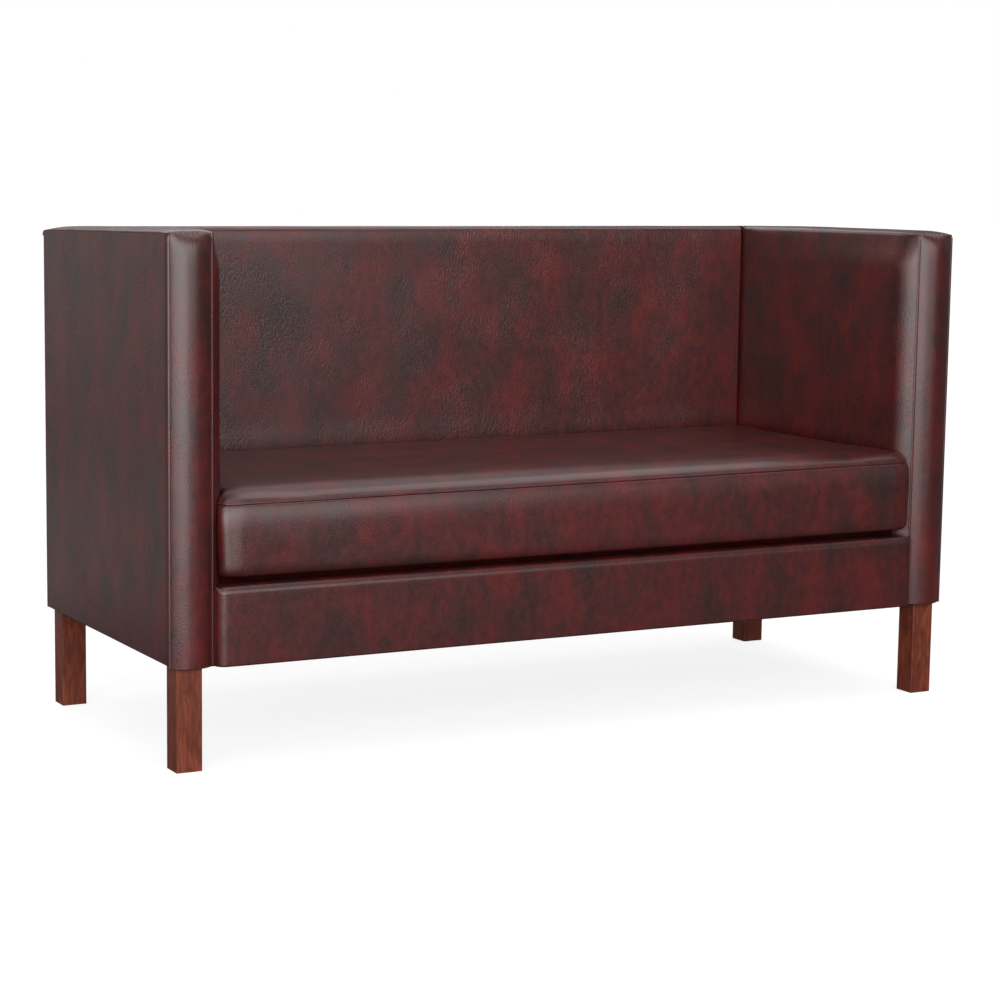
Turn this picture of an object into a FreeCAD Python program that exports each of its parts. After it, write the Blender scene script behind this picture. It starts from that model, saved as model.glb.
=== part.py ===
"""Two-seat restaurant booth settee: hardwood frame, foam pads, leather covers, loose cushion.

Millimetres, +Z up, +Y towards the back, origin on the floor under the middle of the settee.
Left and right are as seen from the front.
"""
import FreeCAD, Part
import os
import re
import Sketcher
from FreeCAD import Vector

os.makedirs("parts", exist_ok=True)
doc = FreeCAD.newDocument("booth_settee")

# Driving dimensions
SIZES = {
    # whole settee
    "overall_width": 1500, "overall_depth": 620, "top_front": 842, "top_fall": 14,
    "underside": 173, "cover_hang": 2, "front_hang": 6,
    # arms and back
    "arm_thickness": 76, "back_thickness": 70, "apron_lead": 20, "cushion_lead": 10,
    "band_crown": 15, "top_crown": 7, "frame_drop": 6,
    "pad_knee_run": 34, "pad_knee_gain": 22.5, "pad_back_gain": 25, "pad_knee_radius": 45,
    # skins
    "leather": 1.5, "board": 4,
    # frame members
    "post_width": 44, "post_depth": 60, "rail": 28, "seat_rail_height": 110,
    "arm_rail_height": 28, "back_rail_height": 80, "back_post_width": 44,
    "centre_rail_height": 90, "glue_block_side": 28, "glue_block_gap": 6,
    "dowel_radius": 4, "dowel_reach": 30, "dowel_slack": 0.05, "dowel_low": 52, "dowel_high": 90,
    "dowel_end_gap": 1, "back_dowel_low": 18, "back_dowel_high": 44,
    # legs and their fixings
    "leg_side": 43, "leg_inset_side": 13.5, "leg_inset_front": 1, "leg_inset_rear": 3,
    "leg_eased_edge": 1.5, "leg_glide_step": 1, "glide_radius": 10, "glide_height": 5,
    "glide_slack": 0.1, "bolt_radius": 4, "bolt_reach": 30, "bolt_in_leg": 40, "bolt_slack": 0.2,
    "leg_plate_side": 38, "leg_plate": 2,
    # seat suspension and deck
    "webbing": 2, "belt_width": 60, "short_belts": 12, "long_belts": 3, "belt_end_gap": 6,
    "belt_field_margin": 50, "long_belt_spacing": 140, "deck_top": 304, "deck_side_gap": 0.5,
    "deck_lip_gap": 1, "dust_cover": 1, "dust_margin": 5, "dust_leg_gap": 1,
    # apron
    "apron_top": 296, "apron_lip": 36, "apron_end_gap": 0.6,
    # edge roundings of the padded panels, and how far a cutting shape runs past what it cuts
    "band_edge": 12, "apron_edge": 14, "top_edge": 5, "overrun": 5,
    # loose cushion
    "cushion_side_gap": 0.6, "cushion_back_gap": 0.5, "cushion_rest_gap": 0.3,
    "seam_height": 424, "seam_inset": 6, "crown_rise": 23, "crown_run": 95,
    "roll_share": 0.215, "side_share": 0.3, "bottom_tuck": 13, "front_bow": 4,
    "front_flare": 10, "rear_corner": 18,
    # zip in the rear boxing
    "zip_room": 5, "zip_half_length": 450, "zip_tape_width": 24,
    "zip_tape": 0.8, "zip_teeth_width": 6, "zip_teeth": 1.7, "zip_stop": 6,
    "slider_length": 12, "slider_width": 10, "slider_wall": 1.6, "slider_gap": 0.3,
}

# Shares of the cushion's edge: height above the deck or seam, and how far the side is drawn in
ROLL_HEIGHT_SHARES = (0.0, 0.14, 0.42, 1.0)
ROLL_INSET_SHARES = (1.0, 0.5, 0.18, 0.0)
BOXING_HEIGHT_SHARES = (0.35, 0.7, 0.88)
BOXING_INSET_SHARES = (0.0, 0.0, 0.3)
CROWN_HEIGHT_SHARES = (0.0, 0.42, 0.72, 0.91, 1.0)
CROWN_INSET_SHARES = (0.0, 0.05, 0.17, 0.42, 1.0)
ARC_MIDDLE_SHARE = 0.2929

sheet = doc.addObject("Spreadsheet::Sheet", "dims")
for row, (alias, value) in enumerate(SIZES.items(), 1):
    sheet.set("A%d" % row, alias)
    sheet.set("B%d" % row, str(value))
    sheet.setAlias("B%d" % row, alias)
doc.recompute()

# Places worked out from the driving dimensions, as expressions
REAR = "overall_depth / 2"
SIDE = "overall_width / 2"
APRON_FRONT = "(cushion_lead - overall_depth / 2)"
SEAM_FRONT = "(cushion_lead + apron_lead - overall_depth / 2)"
BAND_FRONT = "(%s - band_crown)" % SEAM_FRONT
FRAME_REAR = "(overall_depth / 2 - leather - board)"
FRAME_SIDE = "(overall_width / 2 - leather - board)"
POST_INNER = "(%s - post_width)" % FRAME_SIDE
RAIL_INNER = "(%s - rail)" % FRAME_SIDE
BOARD_INNER = "(%s - board)" % POST_INNER
ARM_INNER = "(overall_width / 2 - arm_thickness)"
BACK_INNER = "(overall_depth / 2 - back_thickness)"
BACK_FRAME = "(%s - rail)" % FRAME_REAR
BACK_BOARD = "(%s - board)" % BACK_FRAME
RAIL_TOP = "(underside + seat_rail_height)"
DECK_BASE = "(%s + 2 * webbing)" % RAIL_TOP
FRONT_BOTTOM = "(underside - front_hang)"
COVER_BOTTOM = "(underside - cover_hang)"
PAD_KNEE = "(%s + pad_knee_run)" % SEAM_FRONT
TALLEST = "(top_front + top_crown)"
CUSHION_BASE = "(deck_top + cushion_rest_gap)"
BOXING_LOW = "(%s + (seam_height - %s) * roll_share)" % (CUSHION_BASE, CUSHION_BASE)
ZIP_HEIGHT = "((%s + seam_height) / 2)" % BOXING_LOW


def expression(text):
    """Points each size named in the text at its cell in the sheet."""
    return re.sub(r"[a-z_]+", lambda word: "dims." + word.group() if word.group() in SIZES
                  else word.group(), text)


def size(text):
    """The value of an expression of named sizes, in millimetres."""
    return sheet.evalExpression(expression(text))


def bind(item, **properties):
    """Binds each property to an expression of named sizes."""
    for name, text in properties.items():
        item.setExpression(name.replace("__", "."), expression(text))


def top_at(y, drop="0"):
    """Height of the sloping top seam at a depth, less a drop."""
    run = "(%s - %s)" % (REAR, SEAM_FRONT)
    return "(top_front - top_fall * (%s - %s) / %s - (%s))" % (y, SEAM_FRONT, run, drop)


nodes = []


def keep(item, label):
    """Names a finished sub-part and puts it on the list to write."""
    item.Label = label
    nodes.append(item)
    return item


def block(name, x, y, z):
    """A rectangular block between two expressions along each axis."""
    item = doc.addObject("Part::Box", name)
    for (low, high), length, axis in ((x, "Length", "x"), (y, "Width", "y"), (z, "Height", "z")):
        bind(item, **{length: "(%s) - (%s)" % (high, low), "Placement__Base__" + axis: low})
    return item


def rod(name, radius, length, base, axis=Vector(0, 0, 1)):
    """A cylinder from a base point along an axis."""
    item = doc.addObject("Part::Cylinder", name)
    item.Placement.Rotation = FreeCAD.Rotation(Vector(0, 0, 1), axis)
    bind(item, Radius=radius, Height=length)
    for value, letter in zip(base, "xyz"):
        bind(item, **{"Placement__Base__" + letter: value})
    return item


def outline_sketch(body, plane, points, offset):
    """A closed outline of straight lines, every corner bound to expressions."""
    sketch = body.newObject("Sketcher::SketchObject", body.Name + "_outline")
    origin_plane = [item for item in body.Origin.OriginFeatures if item.Role == plane][0]
    sketch.AttachmentSupport = [(origin_plane, "")]
    sketch.MapMode = "FlatFace"
    bind(sketch, AttachmentOffset__Base__z=offset)
    corners = [Vector(size(across), size(up), 0) for across, up in points]
    for here, corner in enumerate(corners):
        sketch.addGeometry(Part.LineSegment(corner, corners[(here + 1) % len(corners)]), False)
    for here in range(len(corners)):
        after = (here + 1) % len(corners)
        sketch.addConstraint(Sketcher.Constraint("Coincident", here, 2, after, 1))
    for here, (corner, texts) in enumerate(zip(corners, points)):
        for kind, value, text in zip(("DistanceX", "DistanceY"), corner, texts):
            number = sketch.addConstraint(Sketcher.Constraint(kind, -1, 1, here, 1, value))
            bind(sketch, **{"Constraints[%d]" % number: text})
    return sketch


def padded_outline(name, plane, points, start, length):
    """A body padded from an outline on one of its origin planes."""
    body = doc.addObject("PartDesign::Body", name)
    pad = body.newObject("PartDesign::Pad", name + "_pad")
    pad.Profile = outline_sketch(body, plane, points, start)
    bind(pad, Length=length)
    body.Tip = pad
    doc.recompute()
    return body


def round_edges(body, radius, wanted):
    """Rounds the edges whose middle point and direction the test accepts."""
    base = body.Tip
    names = []
    for number, edge in enumerate(base.Shape.Edges, 1):
        along = edge.Vertexes[-1].Point - edge.Vertexes[0].Point
        if along.Length and wanted(edge.CenterOfMass, along.normalize()):
            names.append("Edge%d" % number)
    fillet = body.newObject("PartDesign::Fillet", body.Name + "_round")
    fillet.Base = (base, names)
    bind(fillet, Radius=radius)
    body.Tip = fillet
    doc.recompute()
    return body


def cut(name, base, tool):
    """One shape less another."""
    item = doc.addObject("Part::Cut", name)
    item.Base = base
    item.Tool = tool
    return item


def common(name, base, tool):
    """What two shapes share."""
    item = doc.addObject("Part::Common", name)
    item.Base = base
    item.Tool = tool
    return item


def group(name, members):
    """Separate like solids kept together."""
    item = doc.addObject("Part::Compound", name)
    item.Links = members
    return item


def mirrored(name, source):
    """The same shape on the other side of the settee."""
    item = doc.addObject("Part::Mirroring", name)
    item.Source = source
    item.Normal = Vector(1, 0, 0)
    return item


def keep_pair(item, label):
    """Keeps a right-hand sub-part and its left-hand mirror image."""
    keep(item, label + "_right")
    keep(mirrored(label + "_left_mirror", item), label + "_left")


def near(value, text, slack=0.01):
    """True where a coordinate lies at the place that an expression gives."""
    return abs(value - size(text)) < slack


def upright(along):
    """True for a direction that is mostly up or down."""
    return abs(along.z) > abs(along.x) + abs(along.y)


# Holes that the legs' bolts and the frame's dowels need
LEG_X = "(%s - leg_inset_side - leg_side / 2)" % SIDE
LEG_FRONT_Y = "(%s + leg_inset_front + leg_side / 2)" % SEAM_FRONT
LEG_REAR_Y = "(%s - leg_inset_rear - leg_side / 2)" % REAR


def leg_rods(name, radius, low, high):
    """Four upright rods, one on each leg's axis."""
    rods = []
    for place, y in (("front", LEG_FRONT_Y), ("rear", LEG_REAR_Y)):
        rods.append(rod("%s_%s_right" % (name, place), radius, "(%s) - (%s)" % (high, low),
                        (LEG_X, y, low)))
        rods.append(rod("%s_%s_left" % (name, place), radius, "(%s) - (%s)" % (high, low),
                        ("-" + LEG_X, y, low)))
    return group(name, rods)


def dowels(name, slack):
    """The dowels of the rails that span the settee, or with slack the holes they sit in."""
    radius = "dowel_radius + %s" % slack
    reach = "(dowel_reach + %s)" % ("dowel_end_gap" if slack != "0" else "0")
    rods = []
    front_y = "(%s + rail / 2)" % SEAM_FRONT
    rear_y = "(%s - rail / 2)" % FRAME_REAR
    seat = ["(underside + dowel_low)", "(underside + dowel_high)"]
    back_top = top_at(FRAME_REAR, "frame_drop + back_rail_height")
    back = ["(%s + back_dowel_low)" % back_top, "(%s + back_dowel_high)" % back_top]
    joints = [(front_y, z) for z in seat] + [(rear_y, z) for z in seat + back]
    for number, (y, z) in enumerate(joints):
        base = ("(%s - %s)" % (POST_INNER, reach), y, z)
        rods.append(rod("%s_cross_%d" % (name, number), radius, "2 * " + reach, base,
                        Vector(1, 0, 0)))
    right = group(name + "_right", rods)
    return group(name, [right, mirrored(name + "_left", right)])


DOWEL_HOLES = dowels("dowel_holes", "dowel_slack")
BOLT_HOLES = leg_rods("bolt_holes", "bolt_radius + bolt_slack",
                      "underside - bolt_in_leg - dowel_end_gap",
                      "underside + bolt_reach + dowel_end_gap")
POST_HOLES = group("post_holes", [DOWEL_HOLES, BOLT_HOLES])

# Legs: square stained hardwood with eased edges, a bolt hole on top and a glide seat below
GLIDE_SEATS = leg_rods("glide_seats", "glide_radius + glide_slack", "0", "glide_height")
LEG_HOLES = group("leg_holes", [BOLT_HOLES, GLIDE_SEATS])
for place, y in (("front", LEG_FRONT_Y), ("rear", LEG_REAR_Y)):
    half = "leg_side / 2"
    corners = [("(%s %s %s)" % (LEG_X, sx, half), "(%s %s %s)" % (y, sy, half))
               for sx, sy in (("-", "-"), ("+", "-"), ("+", "+"), ("-", "+"))]
    blank = padded_outline("leg_%s_blank" % place, "XY_Plane", corners, "leg_glide_step",
                           "underside - leg_plate - leg_glide_step")
    round_edges(blank, "leg_eased_edge", lambda middle, along: upright(along))
    keep_pair(cut("leg_%s_drilled" % place, blank, LEG_HOLES), "leg_" + place)

# Leg fixings: plastic glides, hanger bolts and the steel plates that these screw into
keep(leg_rods("glides", "glide_radius", "0", "glide_height"), "leg_glides")
keep(leg_rods("bolts", "bolt_radius", "underside - bolt_in_leg", "underside + bolt_reach"),
     "leg_bolts")
plates = []
for place, y in (("front", LEG_FRONT_Y), ("rear", LEG_REAR_Y)):
    plates.append(block("leg_plate_" + place,
                        ("%s - leg_plate_side / 2" % LEG_X, "%s + leg_plate_side / 2" % LEG_X),
                        ("%s - leg_plate_side / 2" % y, "%s + leg_plate_side / 2" % y),
                        ("underside - leg_plate", "underside")))
right_plates = group("leg_plates_right", plates)
plates = group("all_leg_plates", [right_plates, mirrored("leg_plates_left", right_plates)])
keep(cut("leg_plates_drilled", plates, BOLT_HOLES), "leg_plates")

# Posts: each runs from the top of its leg to the rail along the top of the arm
for place, low_y, high_y in (("front", SEAM_FRONT, "(%s + post_depth)" % SEAM_FRONT),
                             ("rear", "(%s - post_depth)" % FRAME_REAR, FRAME_REAR)):
    under_rail = "frame_drop + arm_rail_height"
    outline = [(low_y, "underside"), (high_y, "underside"),
               (high_y, top_at(high_y, under_rail)), (low_y, top_at(low_y, under_rail))]
    blank = padded_outline("%s_post_blank" % place, "YZ_Plane", outline, POST_INNER, "post_width")
    keep_pair(cut("%s_post_drilled" % place, blank, POST_HOLES), place + "_post")

# Seat frame: front and rear rails between the posts, side rails, a centre rail and glue blocks
front_rail = block("front_rail_blank", ("-" + POST_INNER, POST_INNER),
                   (SEAM_FRONT, "%s + rail" % SEAM_FRONT), ("underside", RAIL_TOP))
keep(cut("front_rail_drilled", front_rail, DOWEL_HOLES), "seat_front_rail")
rear_rail = block("rear_rail_blank", ("-" + POST_INNER, POST_INNER), (BACK_FRAME, FRAME_REAR),
                  ("underside", RAIL_TOP))
keep(cut("rear_rail_drilled", rear_rail, DOWEL_HOLES), "seat_rear_rail")
side_rail = block("side_rail", (RAIL_INNER, FRAME_SIDE),
                  ("%s + post_depth" % SEAM_FRONT, "%s - post_depth" % FRAME_REAR),
                  ("underside", RAIL_TOP))
keep_pair(side_rail, "seat_side_rail")
keep(block("centre_rail", ("-rail / 2", "rail / 2"), ("%s + rail" % SEAM_FRONT, BACK_FRAME),
           ("underside", "underside + centre_rail_height")), "seat_centre_rail")

front_inside = "(%s + rail)" % SEAM_FRONT
blocks = []
for name, corner_y, turn in (("front", front_inside, "+"), ("rear", BACK_FRAME, "-")):
    outline = [(POST_INNER, corner_y), ("%s - glue_block_side" % POST_INNER, corner_y),
               (POST_INNER, "%s %s glue_block_side" % (corner_y, turn))]
    blocks.append(padded_outline("glue_block_" + name, "XY_Plane", outline,
                                 "underside + glue_block_gap",
                                 "seat_rail_height - 2 * glue_block_gap"))
right_blocks = group("glue_blocks_right", blocks)
keep(group("all_glue_blocks", [right_blocks, mirrored("glue_blocks_left", right_blocks)]),
     "glue_blocks")
keep(dowels("frame_dowel_rods", "0"), "frame_dowels")


def sloped_panel(name, x, y, z_low, drop):
    """A panel or rail whose top follows the slope of the top seam, less a drop."""
    outline = [(y[0], z_low), (y[1], z_low), (y[1], top_at(y[1], drop)), (y[0], top_at(y[0], drop))]
    return padded_outline(name, "YZ_Plane", outline, x[0], "(%s) - (%s)" % (x[1], x[0]))


# Arm top rails, on the posts
outline = [(y, top_at(y, drop)) for y, drop in (
    (SEAM_FRONT, "frame_drop + arm_rail_height"), (FRAME_REAR, "frame_drop + arm_rail_height"),
    (FRAME_REAR, "frame_drop"), (SEAM_FRONT, "frame_drop"))]
keep_pair(padded_outline("arm_rail", "YZ_Plane", outline, POST_INNER, "post_width"),
          "arm_top_rail")

# Back frame: a top rail between the rear posts and a post in the middle
back_rail_low = top_at(FRAME_REAR, "frame_drop + back_rail_height")
back_rail = sloped_panel("back_rail_blank", ("-" + POST_INNER, POST_INNER),
                         (BACK_FRAME, FRAME_REAR), back_rail_low, "frame_drop")
keep(cut("back_rail_drilled", back_rail, DOWEL_HOLES), "back_top_rail")
keep(block("back_post", ("-back_post_width / 2", "back_post_width / 2"), (BACK_FRAME, FRAME_REAR),
           (RAIL_TOP, back_rail_low)), "back_centre_post")

# Fibreboard panels on the frame
keep_pair(sloped_panel("outer_arm_panel", (FRAME_SIDE, "%s + board" % FRAME_SIDE),
                       (SEAM_FRONT, "%s + board" % FRAME_REAR), "underside", "frame_drop"),
          "outer_arm_board")
keep_pair(sloped_panel("inner_arm_panel", (BOARD_INNER, POST_INNER), (SEAM_FRONT, BACK_BOARD),
                       DECK_BASE, "frame_drop"), "inner_arm_board")
keep(sloped_panel("outer_back_panel", ("-" + FRAME_SIDE, FRAME_SIDE),
                  (FRAME_REAR, "%s + board" % FRAME_REAR), "underside", "frame_drop"),
     "outer_back_board")
keep(sloped_panel("inner_back_panel", ("-" + POST_INNER, POST_INNER), (BACK_BOARD, BACK_FRAME),
                  DECK_BASE, "frame_drop"), "inner_back_board")

# Elastic webbing across the seat: short belts front to back, long belts over them
belts = []
count = int(size("short_belts"))
field = "2 * (%s - belt_field_margin)" % BOARD_INNER
for number in range(count):
    middle = "(%s * (%d / %d - 1 / 2))" % (field, number, count - 1)
    belts.append(block("short_belt_%d" % number,
                       ("%s - belt_width / 2" % middle, "%s + belt_width / 2" % middle),
                       ("%s + belt_end_gap" % SEAM_FRONT, "%s - belt_end_gap" % FRAME_REAR),
                       (RAIL_TOP, "%s + webbing" % RAIL_TOP)))
keep(group("short_webbing", belts), "seat_webbing_short")
belts = []
count = int(size("long_belts"))
for number in range(count):
    middle = "(long_belt_spacing * (%d - %d / 2))" % (number, count - 1)
    belts.append(block("long_belt_%d" % number,
                       ("belt_end_gap - %s" % FRAME_SIDE, "%s - belt_end_gap" % FRAME_SIDE),
                       ("%s - belt_width / 2" % middle, "%s + belt_width / 2" % middle),
                       ("%s + webbing" % RAIL_TOP, DECK_BASE)))
keep(group("long_webbing", belts), "seat_webbing_long")


def pad_line(shift):
    """Plan of the inside arm's face from front to back, moved towards the seat by a shift."""
    return [("(%s - (%s))" % (ARM_INNER, shift), SEAM_FRONT),
            ("(%s - pad_knee_gain - (%s))" % (ARM_INNER, shift), PAD_KNEE),
            ("(%s - pad_back_gain - (%s))" % (ARM_INNER, shift), BACK_INNER)]


# Seat deck: a cloth-covered felt pad on the webbing, cut to the arms' plan
lip_back = "(%s + apron_lip)" % SEAM_FRONT
deck_front, deck_knee, deck_back = pad_line("deck_side_gap")
side = [(deck_knee[0], "%s + deck_lip_gap" % lip_back), deck_back]
outline = side + [("-" + x, y) for x, y in reversed(side)]
keep(padded_outline("deck", "XY_Plane", outline, DECK_BASE, "deck_top - %s" % DECK_BASE),
     "seat_deck_pad")

# Dust cover stapled under the frame, notched round the legs
notch_x = "(%s - leg_side / 2 - dust_leg_gap)" % LEG_X
edge_x = "(%s - dust_margin)" % FRAME_SIDE
notch_front = "(%s + leg_side / 2 + dust_leg_gap)" % LEG_FRONT_Y
notch_rear = "(%s - leg_side / 2 - dust_leg_gap)" % LEG_REAR_Y
side = [(notch_x, "%s + dust_margin" % SEAM_FRONT), (notch_x, notch_front), (edge_x, notch_front),
        (edge_x, notch_rear), (notch_x, notch_rear), (notch_x, "%s - dust_margin" % FRAME_REAR)]
outline = side + [("-" + x, y) for x, y in reversed(side)]
keep(padded_outline("dust_sheet", "XY_Plane", outline, "underside - dust_cover", "dust_cover"),
     "dust_cover")

# Flat leather covers over the outer boards
keep_pair(sloped_panel("outside_arm_leather", ("%s - leather" % SIDE, SIDE), (SEAM_FRONT, REAR),
                       COVER_BOTTOM, "0"), "outside_arm_cover")
keep(sloped_panel("outside_back_leather", ("leather - %s" % SIDE, "%s - leather" % SIDE),
                  ("%s - leather" % REAR, REAR), COVER_BOTTOM, "0"), "outside_back_cover")


def arm_lining(name, shift, drop, front, back):
    """The inside arm's upholstery: its plan padded up and trimmed along the top."""
    face = pad_line("-(%s)" % shift)
    points = [(BOARD_INNER, front), (face[0][0], front), face[1], face[2], (face[2][0], back),
              (BOARD_INNER, back)]
    body = padded_outline(name, "XY_Plane", points, DECK_BASE, "top_front - %s" % DECK_BASE)
    trim = body.newObject("PartDesign::Pocket", name + "_trim")
    sky = [(front, top_at(front, drop)), (back, top_at(back, drop)), (back, TALLEST),
           (front, TALLEST)]
    trim.Profile = outline_sketch(body, "YZ_Plane", sky, "0")
    trim.Type = "ThroughAll"
    trim.Midplane = True
    body.Tip = trim
    doc.recompute()
    return round_edges(body, "pad_knee_radius", lambda middle, along: upright(along)
                       and near(middle.y, PAD_KNEE) and middle.x < size(BOARD_INNER))


# Inside arm: a foam pad that swells towards the back, and the leather over its face
arm_foam = arm_lining("arm_foam", "leather", "frame_drop", SEAM_FRONT, BACK_BOARD)
keep_pair(arm_foam, "inside_arm_pad")
arm_face = arm_lining("arm_face", "0", "0", SEAM_FRONT, BACK_BOARD)

# Back: a foam pad between the arm pads, and the leather over its face
BACK_SIDE = "(%s - pad_back_gain)" % ARM_INNER
back_width = ("-" + BACK_SIDE, BACK_SIDE)
keep(sloped_panel("back_foam", back_width, ("%s + leather" % BACK_INNER, BACK_BOARD), DECK_BASE,
                  "frame_drop"), "back_pad")
keep(sloped_panel("back_face", back_width, (BACK_INNER, "%s + leather" % BACK_INNER), DECK_BASE,
                  "0"), "inside_back_cover")


def front_band(name, shrink, radius):
    """The padded band down the front of an arm, rounded along its edges and over its top."""
    x = ("%s + %s" % (ARM_INNER, shrink), "%s - %s" % (SIDE, shrink))
    top = "(top_front - %s)" % shrink
    points = [(x[0], "%s + %s" % (BAND_FRONT, shrink)), (x[1], "%s + %s" % (BAND_FRONT, shrink)),
              (x[1], SEAM_FRONT), (x[0], SEAM_FRONT)]
    low = "(%s + %s)" % (FRONT_BOTTOM, shrink)
    body = padded_outline(name, "XY_Plane", points, low, "%s - %s" % (top, low))
    return round_edges(body, radius, lambda middle, along:
                       near(middle.y, "%s + %s" % (BAND_FRONT, shrink)))


band_foam = front_band("band_foam", "leather", "band_edge - leather")
keep_pair(band_foam, "front_band_pad")
keep_pair(cut("band_skin", front_band("band_face", "0", "band_edge"), band_foam),
          "front_band_cover")


def top_band(name, x, y, shrink, base):
    """A band along a top edge, from a base plane up to its crown above the seams."""
    drop = "%s - top_crown" % shrink
    points = [(y[0], top_at(y[0], base)), (y[1], top_at(y[1], base)),
              (y[1], top_at(y[1], drop)), (y[0], top_at(y[0], drop))]
    return padded_outline(name, "YZ_Plane", points, x[0], "(%s) - (%s)" % (x[1], x[0]))


def round_top(body, radius, butted):
    """Rounds the edges round the top of a band, but not where it butts against another."""
    return round_edges(body, radius, lambda middle, along: not butted(middle) and
                       middle.z > size(top_at("(%.9f)" % middle.y, "-top_crown / 2")))


def arm_top_band(name, shrink, base, y, radius):
    """The band along the top of an arm, as wide as the arm's upholstery under it."""
    x = ("%s + %s" % (BACK_SIDE, shrink), "%s - %s" % (SIDE, shrink))
    body = top_band(name, x, y, shrink, base)
    trim = body.newObject("PartDesign::Pocket", name + "_trim")
    face = pad_line("-(%s)" % shrink)
    waste = "(%s - overrun)" % BACK_SIDE
    trim.Profile = outline_sketch(body, "XY_Plane", face + [(waste, BACK_INNER),
                                                            (waste, SEAM_FRONT)], "0")
    trim.Type = "ThroughAll"
    trim.Midplane = True
    body.Tip = trim
    doc.recompute()
    return round_top(body, radius, lambda middle: near(middle.x, "%s + %s" % (BACK_SIDE, shrink)))


def back_top_band(name, shrink, base, y, radius):
    """The band along the top of the back, between those of the arms."""
    return round_top(top_band(name, back_width, y, shrink, base), radius,
                     lambda middle: near(abs(middle.x), BACK_SIDE))


# Top bands: a thin foam pad and its leather over each arm and over the back between them
arm_top_foam = arm_top_band("arm_top_foam", "leather", "frame_drop",
                            ("%s + leather" % SEAM_FRONT, "%s - leather" % REAR),
                            "top_edge - leather")
keep_pair(arm_top_foam, "arm_top_pad")
arm_top_face = arm_top_band("arm_top_face", "0", "0", (SEAM_FRONT, REAR), "top_edge")
keep_pair(cut("arm_top_skin", arm_top_face, arm_top_foam), "arm_top_cover")
keep_pair(cut("arm_face_skin", cut("arm_face_shell", arm_face, arm_foam), arm_top_foam),
          "inside_arm_cover")
back_top_y = ("%s + leather" % BACK_INNER, "%s - leather" % REAR)
back_top_foam = back_top_band("back_top_foam", "leather", "frame_drop", back_top_y,
                              "top_edge - leather")
keep(back_top_foam, "back_top_pad")
back_top_face = back_top_band("back_top_face", "0", "0", (BACK_INNER, REAR), "top_edge")
keep(cut("back_top_skin", back_top_face, back_top_foam), "back_top_cover")


def apron(name, shrink, radius):
    """The padded apron: down the front of the seat rail, with a lip rolled over its top."""
    ends = "(%s - apron_end_gap - %s)" % (ARM_INNER, shrink)
    front = "(%s + %s)" % (APRON_FRONT, shrink)
    top = "(apron_top - %s)" % shrink
    back = "(%s - %s)" % (lip_back, shrink)
    points = [(front, "%s + %s" % (FRONT_BOTTOM, shrink)),
              (SEAM_FRONT, "%s + %s" % (FRONT_BOTTOM, shrink)), (SEAM_FRONT, DECK_BASE),
              (back, DECK_BASE), (back, top), (front, top)]
    body = padded_outline(name, "YZ_Plane", points, "-" + ends, "2 * " + ends)
    return round_edges(body, radius, lambda middle, along: near(middle.y, front))


both_arms = group("both_arm_faces", [arm_face, mirrored("arm_face_left", arm_face)])
apron_foam = cut("apron_core", apron("apron_foam", "leather", "apron_edge - leather"), both_arms)
keep(apron_foam, "apron_pad")
apron_face = cut("apron_whole", apron("apron_face", "0", "apron_edge"), both_arms)
keep(cut("apron_skin", apron_face, apron_foam), "apron_cover")


def cushion_ring(skin, inset, rear_draw, height):
    """One level outline of the cushion, drawn in most at its front and rear."""
    front = -size(REAR) + inset + skin
    bow = size("front_bow")
    corner = size("cushion_lead + apron_lead") - bow
    rear = size(BACK_INNER) - size("cushion_back_gap") - rear_draw - inset - skin
    rear_corner = size("rear_corner")
    side_draw = size("cushion_side_gap") + size("side_share") * inset + skin
    x_knee, x_back = [size(x) - side_draw for x, _ in pad_line("0")[1:]]
    x_front = x_knee + size("front_flare")
    shoulder = front + bow
    middle = ARC_MIDDLE_SHARE * corner
    rear_middle = ARC_MIDDLE_SHARE * rear_corner
    right = [Vector(x_front - corner, shoulder, height),
             Vector(x_front - middle, shoulder + middle, height),
             Vector(x_front, shoulder + corner, height),
             Vector(x_knee, size(PAD_KNEE) + inset, height),
             Vector(x_back, rear - rear_corner, height),
             Vector(x_back - rear_middle, rear - rear_middle, height),
             Vector(x_back - rear_corner, rear, height)]
    left = [Vector(-point.x, point.y, height) for point in reversed(right)]
    edges = [Part.Arc(right[0], right[1], right[2]), Part.LineSegment(right[2], right[3]),
             Part.LineSegment(right[3], right[4]), Part.Arc(right[4], right[5], right[6]),
             Part.LineSegment(right[6], left[0]), Part.Arc(left[0], left[1], left[2]),
             Part.LineSegment(left[2], left[3]), Part.LineSegment(left[3], left[4]),
             Part.Arc(left[4], left[5], left[6]),
             Part.Arc(left[6], Vector(0, front, height), right[0])]
    return Part.Wire([edge.toShape() for edge in edges])


def cushion_form(skin):
    """The cushion's crowned form: rolled under below, boxing that leans in to the seam, crown."""
    deck = size(CUSHION_BASE) + skin
    low = size(BOXING_LOW)
    seam = size("seam_height")
    crown = size("seam_height + crown_rise") - skin
    tuck = size("bottom_tuck")
    seam_inset = size("seam_inset")
    run = size("crown_run") - seam_inset
    zip_room = size("zip_room")
    rings = [cushion_ring(skin, tuck * inset, zip_room, deck + (low - deck) * share)
             for share, inset in zip(ROLL_HEIGHT_SHARES, ROLL_INSET_SHARES)]
    rings += [cushion_ring(skin, seam_inset * inset, zip_room, low + (seam - low) * share)
              for share, inset in zip(BOXING_HEIGHT_SHARES, BOXING_INSET_SHARES)]
    rings += [cushion_ring(skin, seam_inset + run * inset, -seam_inset,
                           seam + (crown - seam) * share)
              for share, inset in zip(CROWN_HEIGHT_SHARES, CROWN_INSET_SHARES)]
    return Part.makeLoft(rings, True, True)


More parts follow.
